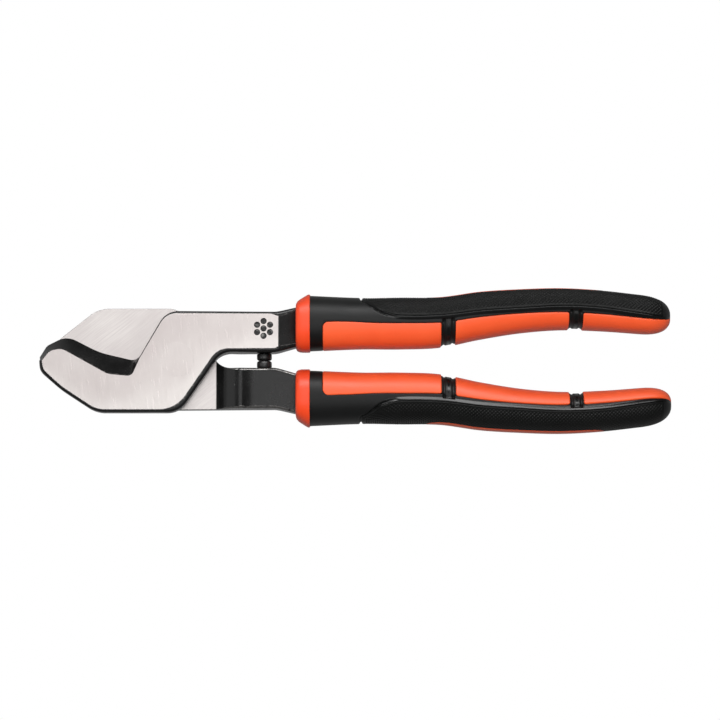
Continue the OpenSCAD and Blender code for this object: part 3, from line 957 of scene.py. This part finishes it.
# %% The shape of a grip
GRIP_ROWS = [
    (50.6, 14.4, 10.55), (70, 14.4, 9.75), (85, 14.5, 9.85), (100.3, 14.9, 9.6), (115.7, 17.5, 9.1),
    (131, 19.2, 8.35), (146.3, 20, 7.95), (161.6, 19.4, 7.75), (176.9, 18, 7.45), (190, 16.7, 7.2),
]
INLAY_LINE = [
    (50, -0.04), (64, -0.04), (76, -0.1), (98, -0.13), (116, -0.2), (138, -0.28), (162, -0.33),
    (189, -0.38),
]
PAD_LINE = [
    (50, 0.86), (70.9, 0.84), (75.1, 0.62), (78.2, 0.4), (84, 0.2), (100, 0.17), (116, 0.08),
    (131, 0.01), (159, 0.01), (173, -0.07), (189, -0.2),
]
INLAYS = [(55.5, 100.7), (106.1, 149.4), (154.7, 188.4)]
PAD_X, SPINE_X = (70.9, 185.0), (95.0, 163.0)
GRIP_START, GRIP_STOP, GRIP_END, ROUND_X = 50.6, 188.4, 188.6, 176.0
SQUARENESS = 2.5


def smooth(x, rows, column):
    """Smooth value of a column of a table at x."""
    t = np.asarray(rows, float)
    i = np.clip(np.searchsorted(t[:, 0], x, side="right") - 1, 0, len(t) - 2)
    before, after = t[np.maximum(i - 1, 0)], t[np.minimum(i + 2, len(t) - 1)]
    a, b = t[i], t[i + 1]
    h = b[..., 0] - a[..., 0]
    s = (x - a[..., 0]) / h
    slope_a = (b[..., column] - before[..., column]) / (b[..., 0] - before[..., 0]) * h
    slope_b = (after[..., column] - a[..., column]) / (after[..., 0] - a[..., 0]) * h
    return (
        (2 * s**3 - 3 * s**2 + 1) * a[..., column]
        + (s**3 - 2 * s**2 + s) * slope_a
        + (3 * s**2 - 2 * s**3) * b[..., column]
        + (s**3 - s**2) * slope_b
    )


def end_round(x):
    """Share of the full size, which falls to nothing round the end of the grip."""
    return (1 - np.clip((x - ROUND_X) / (GRIP_END - ROUND_X), 0, 1) ** 2.6) ** (1 / 2.6)


def half_width(x):
    return smooth(x, GRIP_ROWS, 2) * end_round(x)


def half_depth(x):
    return (10.5 - lookup(x, [(100, 0), (170, 1.2)])) * end_round(x)


def power(v, p):
    return np.sign(v) * np.abs(v) ** p


def grip_point(x, angle, depth):
    """Point at station x, at an angle from the outer edge, sunk by depth."""
    y = smooth(x, GRIP_ROWS, 1) + (half_width(x) - depth) * power(np.cos(angle), 2 / SQUARENESS)
    z = MID_Z + (half_depth(x) - depth) * power(np.sin(angle), 2 / SQUARENESS)
    return np.stack([x + 0 * y, y, z], axis=-1)


# Angles of half a section, packed close where the section turns fastest
TURN = np.linspace(0, 1, 400)
TURN_ANGLES = math.pi * (3 * TURN**2 - 2 * TURN**3)


def arc_tables(x):
    """Distance round the section from the outer edge to each of TURN_ANGLES, for stations x."""
    y = half_width(x)[:, None] * power(np.cos(TURN_ANGLES), 2 / SQUARENESS)[None]
    z = half_depth(x)[:, None] * power(np.sin(TURN_ANGLES), 2 / SQUARENESS)[None]
    steps = np.hypot(np.diff(y, axis=1), np.diff(z, axis=1))
    return np.concatenate([np.zeros((len(x), 1)), np.cumsum(steps, axis=1)], axis=1)


TABLE_X = np.concatenate(
    [np.arange(GRIP_START, ROUND_X, 0.5), np.arange(ROUND_X, GRIP_STOP, 0.1), [GRIP_STOP]]
)
TABLE_S = arc_tables(TABLE_X)


def share_angle(u):
    """Angle of a line at a share u of the half width."""
    return np.arccos(power(u, SQUARENESS / 2))


def line_at(x, rows):
    """Distance round the section to a line given as a share of the half width."""
    angle = share_angle(smooth(TABLE_X, rows, 1))
    distance = np.array([np.interp(a, TURN_ANGLES, row) for a, row in zip(angle, TABLE_S)])
    return np.interp(x, TABLE_X, distance)


def whole_at(x):
    """Distance round the section from the outer edge to the inner one."""
    return np.interp(x, TABLE_X, TABLE_S[:, -1])


def spine_at(x):
    """Half of the width of the spine strip, with full round ends."""
    t = np.clip((2 * x - SPINE_X[0] - SPINE_X[1]) / (SPINE_X[1] - SPINE_X[0]), -1, 1)
    return np.maximum(0.25, 4.5 * np.sqrt(np.clip(1 - np.abs(t) ** 12, 0, 1)))


def grip_grid(x, s, depth):
    """Points for grids of stations x and distances s round the section, sunk by depth.
    Distances past the inner edge come back along the other side."""
    row = np.clip(np.searchsorted(TABLE_X, x, side="right") - 1, 0, len(TABLE_X) - 2)
    share = (x - TABLE_X[row]) / (TABLE_X[row + 1] - TABLE_X[row])
    whole = TABLE_S[row, -1] * (1 - share) + TABLE_S[row + 1, -1] * share
    folded = np.where(s > whole, 2 * whole - s, np.abs(s))
    side = np.where((s > whole) | (s < 0), -1.0, 1.0)
    angle = np.empty_like(folded)
    for i in np.unique(row):
        here = row == i
        table = TABLE_S[i] / TABLE_S[i, -1]
        angle[here] = np.interp(folded[here] / whole[here], table, TURN_ANGLES)
    return grip_point(x, angle * side, depth)


print("length round a section:", round(float(whole_at(60.0)), 2), "mm to the inner edge at the front")

# %% [markdown]
# ## Parting lines and windows
# Where two mouldings meet, each edge is rolled over a little and leaves a fine dark line. Lines
# could be painted on one skin, but real gaps catch light from every side. Stations crowd together
# near each edge, so the roll has enough points, and they slide along the grip near the corners of
# a window, so the window gets round corners without a cut.

# %% Parting lines and windows
GAP = 0.04                                    # half of the parting line between two mouldings
SUNK = 0.035                                  # pads and strip lie this much below the skin
CORNERS = [(2.3, 0.8), (0.8, 0.8), (0.8, 0.0)]  # corner radii of the three inlay windows


def stations(a, b, step, near=(0.04, 0.1, 0.2, 0.35, 0.6, 1.0)):
    """Stations from a to b, close together near both ends."""
    near = [n for n in near if n < (b - a) / 2]
    last = near[-1] if near else 0
    middle = np.linspace(a + last, b - last, max(2, int(math.ceil((b - a - 2 * last) / step)) + 1))
    return np.unique(np.round(np.concatenate([[a], a + np.array(near), middle, b - np.array(near), [b]]), 5))


def rolled(distance, radius):
    """Depth of a rolled-over edge at a distance inside it."""
    inside = np.clip(radius - distance, 0, radius)
    return radius - np.sqrt(radius**2 - inside**2)


def hump(value, centre, half):
    """A smooth bump from 0 to 1 and back."""
    t = np.clip((value - centre) / half, -1, 1)
    return 0.5 * (1 + np.cos(math.pi * t))


def step_up(value, a, b):
    t = np.clip((value - a) / (b - a), 0, 1)
    return t * t * (3 - 2 * t)


FADE_IN, FADE_OUT = 6, 2.4                    # how far the shift reaches into and out of a window


def window_shift(x, inside):
    """How far stations move along the grip, so that the windows get round corners."""
    total = np.zeros_like(inside + x)
    for (x0, x1), (r0, r1) in zip(INLAYS, CORNERS):
        for end, radius, way in ((x0, r0, 1), (x1, r1, -1)):
            if radius > 0:
                away = (x - end) * way
                fade = np.where(away >= 0, 1 - away / FADE_IN, 1 + away / FADE_OUT)
                total += way * rolled(inside, radius) * (inside >= 0) * np.clip(fade, 0, 1)
    return total


NEAR_SWEEP, FAR_OFF = (64, 98), 10            # where distances need care, and a distance beyond use
SWEEP_X = np.arange(PAD_X[0], 100, 0.2)
SWEEP_S = line_at(SWEEP_X, PAD_LINE)


def pad_distance(x, s):
    """Distance from the edge of the pad, outside it, over the surface of the grip."""
    line = line_at(x, PAD_LINE)
    plain = s - line
    near = (x > NEAR_SWEEP[0]) & (x < NEAR_SWEEP[1])
    away = np.hypot(x[near][:, None] - SWEEP_X, s[near][:, None] - SWEEP_S).min(axis=1)
    ahead = (x[near] <= PAD_X[0]) & (s[near] <= SWEEP_S[0])
    out = np.array(plain)
    out[near] = np.where(ahead, PAD_X[0] - x[near], away)
    out[x <= NEAR_SWEEP[0]] = FAR_OFF
    return out


print("windows:", INLAYS)

# %% [markdown]
# ## The black skin
# The skin is the soft black rubber that holds everything else. It carries relief of its own: a
# notch in front of the pads, a bead along them, a plain strip beside the bead, and two bridges
# between the inlays, each with a rib and a pit on both sides. Carving it afterwards would need
# Booleans on a curved surface, so the relief is a depth that is taken off the shared shape.

# %% Relief of the skin
BRIDGES = [(INLAYS[k][1] + INLAYS[k + 1][0]) / 2 for k in (0, 1)]
BEAD = [(0.25, 0), (0.4, 0.02), (1.6, 0.42), (1.8, 0.44)]  # distance from the pad, depth


def skin_relief(x, s, inlay_s):
    """Depth of the bare skin: notch and groove in front of the pad, bead, strip and bridges."""
    n = pad_distance(x, s)
    notch = lookup(x, [(70.9, 1.0), (75, 0.95), (79, 0.6), (85, 0.1), (91, 0)]) * hump(n, 0.8, 0.8)
    valley = step_up(x, 77, 85) * (1 - step_up(x, 183, 187))
    relief = np.maximum(notch, valley * lookup(n, BEAD))
    bridge = np.zeros_like(x)
    for centre in BRIDGES:
        t = np.abs(x - centre)
        bridge += 0.2 * hump(t, 0, 2.7) + 0.85 * hump(t, 1.7, 0.85)
    reach = step_up(n, 1.2, 1.9)
    return relief + bridge * reach * (1 - 0.45 * step_up(s, inlay_s - 0.3, inlay_s + 0.5))


print("bridges at", [round(centre, 2) for centre in BRIDGES])

# %% Columns round the skin


def half_columns(x):
    """Distances round half a section for the skin, and the zone of each column."""
    spine, pad, inlay, whole = spine_at(x), line_at(x, PAD_LINE), line_at(x, INLAY_LINE), whole_at(x)
    near_line = np.concatenate([
        [0, 0.015, 0.035, 0.055, 0.08, 0.11, 0.15, 0.2, 0.25, 0.3, 0.35, 0.42],
        [0.5, 0.58, 0.68, 0.78, 0.86, 0.92, 0.96, 0.985, 1],
    ])
    zones = [
        (0 * spine, spine, np.array([0, 0.5, 1.0])),
        (spine, pad, np.linspace(0, 1, 12)),
        (pad, inlay, near_line),
        (inlay, whole, np.concatenate([[0, 0.02, 0.05, 0.1], np.linspace(0.16, 1, 15)])),
    ]
    s = np.concatenate([a[:, None] + (b - a)[:, None] * t for a, b, t in zones], axis=1)
    zone = np.concatenate([[k] * len(t) for k, (_, _, t) in enumerate(zones)])
    return s, zone, spine, pad, inlay, whole


print("columns round half a section:", half_columns(np.array([60.0]))[0].shape[1])

# %% Body of the skin
PAD_SEAT, INLAY_SEAT, SLEEVE_SEAT = 1.25, 2.05, 3.0
SLEEVE_STOP = 183.5


def skin_solid():
    """The skin with its windows, pad seats and relief, hollow for the sleeve."""
    ends = [
        GRIP_START, INLAYS[0][0], PAD_X[0] - 2.4, PAD_X[0], 84, SPINE_X[0], INLAYS[0][1], INLAYS[1][0],
        INLAYS[1][1], INLAYS[2][0], SPINE_X[1], PAD_X[1], GRIP_STOP,
    ]
    steps = [0.8, 0.8, 0.2, 0.35, 0.8, 0.8, 0.2, 0.9, 0.2, 0.9, 0.9, 0.4]
    x, pad_in, inlay_in, spine_in = [], [], [], []
    for a, b, step in zip(ends, ends[1:], steps):
        run = stations(a, b, step)
        centre = (a + b) / 2
        x.append(run)
        pad_in += [PAD_X[0] < centre < PAD_X[1]] * len(run)
        spine_in += [SPINE_X[0] < centre < SPINE_X[1]] * len(run)
        inlay_in += [any(w[0] < centre < w[1] for w in INLAYS)] * len(run)
    x = np.concatenate(x)
    pad_in, inlay_in, spine_in = (np.array(v)[:, None] for v in (pad_in, inlay_in, spine_in))
    s, zone, spine, pad, inlay, whole = half_columns(x)
    xx = np.repeat(x[:, None], s.shape[1], axis=1)
    depth = skin_relief(xx.ravel(), s.ravel(), np.repeat(inlay, s.shape[1])).reshape(s.shape)
    # Rolled edges beside the windows and the pads
    window_gap = np.min([np.abs(x - end) for w in INLAYS for end in w], axis=0)[:, None]
    beside = np.where(zone[None] == 3, window_gap, inlay[:, None] - s)
    depth += rolled(beside, 0.3) * np.where(zone[None] == 3, ~inlay_in, inlay_in & (zone[None] == 2))
    depth += rolled(s - pad[:, None], 0.25) * pad_in * (zone[None] == 2)
    depth = np.where((zone[None] == 0) & spine_in, PAD_SEAT, depth)
    depth = np.where((zone[None] == 1) & pad_in, PAD_SEAT, depth)
    depth = np.where((zone[None] == 3) & inlay_in, INLAY_SEAT, depth)
    shifted = xx + window_shift(xx, np.where(zone[None] == 3, s - inlay[:, None], -1.0))
    front = grip_grid(shifted, s, depth)
    back_s = 2 * whole[:, None] - s
    back = grip_grid(shifted, back_s, depth)[:, -2:0:-1]
    outer = np.concatenate([front, back], axis=1)
    rows, cols = outer.shape[:2]
    beside_pad = pad_distance(xx.ravel(), s.ravel()).reshape(s.shape)
    polish = (1 - step_up(beside_pad, 1.5, 1.9)) * (zone[None] == 2) * step_up(xx, 73, 79)
    for centre in BRIDGES:
        polish = np.maximum(polish, hump(xx, centre, 1.1) * (zone[None] >= 2))
    polish = np.concatenate([polish, polish[:, -2:0:-1]], axis=1)
    # The hollow that takes the sleeve, on a coarser grid
    inner_x = np.concatenate([np.arange(GRIP_START, 183, 3.0), [SLEEVE_STOP]])
    turn = np.linspace(0, 2, cols // 4 + 1)[:-1]
    inner_s = whole_at(inner_x)[:, None] * turn
    inner = grip_grid(np.repeat(inner_x[:, None], len(turn), axis=1), inner_s, SLEEVE_SEAT)
    points, faces = ring_solid(outer, close_start=False)
    inner_points, inner_faces = ring_solid(inner, close_start=False)
    first = len(points)
    faces += [tuple(first + v for v in face[::-1]) for face in inner_faces]
    faces += rim_between(range(cols), range(first, first + len(turn)), outer[0], inner[0])
    mask = np.zeros(len(points) + len(inner_points))
    mask[: polish.size] = polish.ravel()
    return np.concatenate([points, inner_points]), faces, mask


def rim_between(outer_ids, inner_ids, outer_points, inner_points):
    """Triangles between two closed rings of different counts, facing the start of the tool."""
    n, m = len(outer_ids), len(inner_ids)
    lengths = [
        np.concatenate([[0], np.cumsum(np.linalg.norm(np.diff(p, axis=0, append=p[:1]), axis=1))])
        for p in (outer_points, inner_points)
    ]
    share = [length / length[-1] for length in lengths]
    i = j = 0
    faces = []
    while i < n or j < m:
        if j >= m or (i < n and share[0][i + 1] <= share[1][j + 1]):
            faces.append((outer_ids[(i + 1) % n], outer_ids[i % n], inner_ids[j % m]))
            i += 1
        else:
            faces.append((outer_ids[i % n], inner_ids[j % m], inner_ids[(j + 1) % m]))
            j += 1
    return faces


skin = skin_solid()
print("skin:", len(skin[0]), "points")

# %% [markdown]
# ## Inlays
# The orange inlays are plates that fill the windows of the skin and wrap round the inner side of
# the grip. A plate could be a thickened surface, but its hidden side needs no detail, so only the
# seen side is fine, and a rim of triangles joins it to a coarse back.

# %% Plates in the skin
PAD_T, INLAY_T = 1.2, 2.0


def coarse_plate(outer, inner_grid, every):
    """A plate whose hidden inner side has only one point in every few."""
    rows, cols = outer.shape[:2]
    inner = inner_grid[::every, ::every]
    small_rows, small_cols = inner.shape[:2]
    count = rows * cols
    points = np.concatenate([outer.reshape(-1, 3), inner.reshape(-1, 3)])
    faces = grid_faces(rows, cols) + grid_faces(small_rows, small_cols, count, flip=True)

    def rim(r, c, first):
        loop = [j for j in range(c)] + [i * c + c - 1 for i in range(1, r)]
        loop += [(r - 1) * c + j for j in range(c - 2, -1, -1)] + [i * c for i in range(r - 2, 0, -1)]
        return [first + v for v in loop]

    big, small = rim(rows, cols, 0), rim(small_rows, small_cols, count)
    for k in range(len(small)):
        a, b = small[k], small[(k + 1) % len(small)]
        for t in range(every):
            p, q = big[(k * every + t) % len(big)], big[(k * every + t + 1) % len(big)]
            faces.append((q, p, a))
        faces.append((big[((k + 1) * every) % len(big)], a, b))
    return points, faces


def even_stations(a, b, step, every):
    """Stations from a to b in a count that the coarse inner side can divide."""
    count = max(1, math.ceil((b - a) / step / every)) * every
    return np.linspace(a, b, count + 1)


def edge_packed(count, every, power_of=1.6):
    """Shares from 0 to 1, close together at both ends."""
    count = math.ceil(count / every) * every
    t = np.linspace(-1, 1, count + 1)
    return 0.5 + 0.5 * np.sign(t) * (1 - (1 - np.abs(t)) ** power_of)


print("plate helpers ready")

# %% Inlays


def inlay_solid(number):
    """An inlay that lies a hair above the skin, with rolled edges."""
    (x0, x1), (r0, r1) = INLAYS[number], CORNERS[number]
    last = number == 2
    stop = x1 - (0 if last else GAP)
    share = edge_packed((x1 - x0) / 0.55, 4)
    x = x0 + GAP + (stop - x0 - GAP) * share
    line, whole = line_at(x, INLAY_LINE), whole_at(x)
    s0, s1 = line + GAP, 2 * whole - line - GAP
    t = edge_packed(64, 4)
    s = s0[:, None] + (s1 - s0)[:, None] * t
    xx = np.repeat(x[:, None], s.shape[1], axis=1)
    side = np.minimum(s - s0[:, None], s1[:, None] - s)
    ends = np.minimum(xx - x0, 10 if last else x1 - xx)
    edge = np.minimum(side, ends)
    depth = rolled(edge, 0.45) - 0.05
    shifted = xx + window_shift(xx, side)
    return coarse_plate(grip_grid(shifted, s, depth), grip_grid(shifted, s, INLAY_T), 4)


inlays = [inlay_solid(number) for number in range(3)]
print("inlays:", [len(inlay[0]) for inlay in inlays], "points")

# %% [markdown]
# ## Knurled pads
# The pads are rubber with a moulded diamond knurl that keeps the hand from slipping. A bump map
# would look flat along the outline of the grip, so every diamond is in the mesh. Two cosines
# multiplied give rows of round tips, and the knurl dies out towards the border of the pad.

# %% Knurled pads
KNURL_PITCH, KNURL_DEPTH = 0.7, 0.32


def pad_solid():
    """A pad with a moulded diamond knurl, lower along its borders."""
    x = even_stations(PAD_X[0] + GAP, PAD_X[1] - GAP, 0.17, 4)
    line, spine = line_at(x, PAD_LINE), spine_at(x)
    s0, s1 = spine + GAP, line - GAP
    t = np.linspace(0, 1, 73)
    s = s1[:, None] - (s1 - s0)[:, None] * t[::-1]
    xx = np.repeat(x[:, None], s.shape[1], axis=1)
    rise = s1[:, None] - s
    border = np.min([rise, s - s0[:, None], xx - PAD_X[0], PAD_X[1] - xx], axis=0)
    diamonds = 0.5 + 0.5 * np.cos(math.pi * xx / KNURL_PITCH) * np.cos(math.pi * rise / KNURL_PITCH)
    strength = step_up(border, 0.5, 1.1)
    depth = SUNK + rolled(border, 0.25) + KNURL_DEPTH * (1 - diamonds) * strength
    points, faces = coarse_plate(grip_grid(xx, s, depth), grip_grid(xx, s, PAD_T), 4)
    tips = np.zeros(len(points))
    tips[: depth.size] = (0.9 * diamonds**4 * strength).ravel()
    return points, faces, tips


def other_side(solid):
    """The mirror image of a solid on the back of the grip."""
    points = solid[0].copy()
    points[:, 2] = 2 * MID_Z - points[:, 2]
    return (points, [face[::-1] for face in solid[1]], *solid[2:])


pad = pad_solid()
print("pad:", len(pad[0]), "points")

# %% [markdown]
# ## Spine strip and collar
# The strip shows orange along the outer edge of the grip, between the pads. The collar is the
# thick orange mouth of the grip, drawn in towards the tang and slanted on its outer side. Both
# again follow the shared shape: one as a plate, the other as rings that get smaller.

# %% Spine strip


def spine_solid():
    """A narrow plate with rolled edges, centred on the outer edge of the grip."""
    x = SPINE_X[0] + GAP + (SPINE_X[1] - SPINE_X[0] - 2 * GAP) * edge_packed(120, 4, 2.2)
    reach = spine_at(x) - GAP
    t = edge_packed(24, 4)
    s = -reach[:, None] + 2 * reach[:, None] * t
    xx = np.repeat(x[:, None], s.shape[1], axis=1)
    edge = np.min([s + reach[:, None], reach[:, None] - s, xx - x[0] + 0.02, x[-1] - xx + 0.02], axis=0)
    depth = SUNK + rolled(edge, 0.3)
    return coarse_plate(grip_grid(xx, s, depth), grip_grid(xx, s, PAD_T), 4)


spine_strip = spine_solid()
print("spine strip:", len(spine_strip[0]), "points")

# %% Collar


def collar_solid():
    """Collar with a drawn-in mouth, slanted on its outer side."""
    # Each row: place from the mouth, how far it is drawn in, and how far its outer side is slanted
    rows = [
        (0, 1.5, 2.6), (0.06, 1.25, 2.57), (0.18, 0.98, 2.52), (0.4, 0.66, 2.42), (0.8, 0.35, 2.2),
        (1.6, 0.1, 1.8), (2.4, 0.03, 1.35), (3.2, 0, 0.87), (4.0, 0, 0.36), (4.35, 0, 0.14),
        (4.6, 0, 0.03), (4.9, 0, 0), (5.15, 0.03, 0), (5.3, 0.08, 0), (5.4, 0.2, 0),
    ]
    whole = whole_at(np.array([GRIP_START]))[0]
    s = np.linspace(0, 2 * whole, 129)[:-1]
    rings = []
    for run, draw, outer in rows:
        x = np.full_like(s, GRIP_START)
        ring = grip_grid(x[None], s[None], draw - 0.5)[0]
        folded = np.where(s > whole, 2 * whole - s, s)
        angle = np.interp(folded, TABLE_S[0], TURN_ANGLES)
        ring[:, 1] -= outer * np.clip(np.cos(angle), 0, 1) ** 2
        ring[:, 0] = HALF_STOP + run
        rings.append(ring)
    return ring_solid(np.array(rings))


collar = collar_solid()
print("collar:", len(collar[0]), "points")

# %% [markdown]
# ## Place both grips
# The two grips come out of one mould. The pieces are made once and used twice: as they are on the
# front half, and turned over on the rear half, so front and back pads change places there.

# %% Place both grips
pieces = {
    "skin": (skin, BLACK_SKIN, "black_skin", "skin"),
    "collar": (collar, ORANGE_HARD, "orange_hard", "collar"),
    "inlay_front": (inlays[0], ORANGE_SOFT, "orange_soft", "inlay_front"),
    "inlay_middle": (inlays[1], ORANGE_SOFT, "orange_soft", "inlay_middle"),
    "inlay_rear": (inlays[2], ORANGE_SOFT, "orange_soft", "inlay_rear"),
    "spine_strip": (spine_strip, ORANGE_SOFT, "orange_soft", "spine_strip"),
}
made = {}
for grip, body, over in (("upper", FRONT_BODY, False), ("lower", REAR_BODY, True)):
    front_side, back_side = (pad, other_side(pad)) if not over else (other_side(pad), pad)
    both = dict(pieces)
    both["pad_front"] = (front_side, PAD_RUBBER, "black_pad", "pad_front")
    both["pad_back"] = (back_side, PAD_RUBBER, "black_pad", "pad_back")
    for name, (solid, material, slot, node) in both.items():
        points = turned_over(solid[0], FACE_Z) if over else solid[0]
        mask = solid[2] if len(solid) > 2 else None
        made[f"{grip}_{name}"] = make_piece(
            f"{grip}_{name}_moulding", points, solid[1], body, slot, [f"{grip}_{node}"], [material],
            edge=mask, weld=True, sharp=50,
        )
print("pieces:", len(made))

# %% [markdown]
# ## The hidden sleeves
# Under each skin lies a hard orange sleeve, which nobody sees until the skin is cut open. A finer
# mesh would change nothing, so it keeps the body of the CAD part and only gets its plastic.

# %% Sleeves
for node in ("upper_core_sleeve", "lower_core_sleeve"):
    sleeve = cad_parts[node]
    sleeve.data.materials.clear()
    sleeve.data.materials.append(ORANGE_HARD)
print("sleeves done")
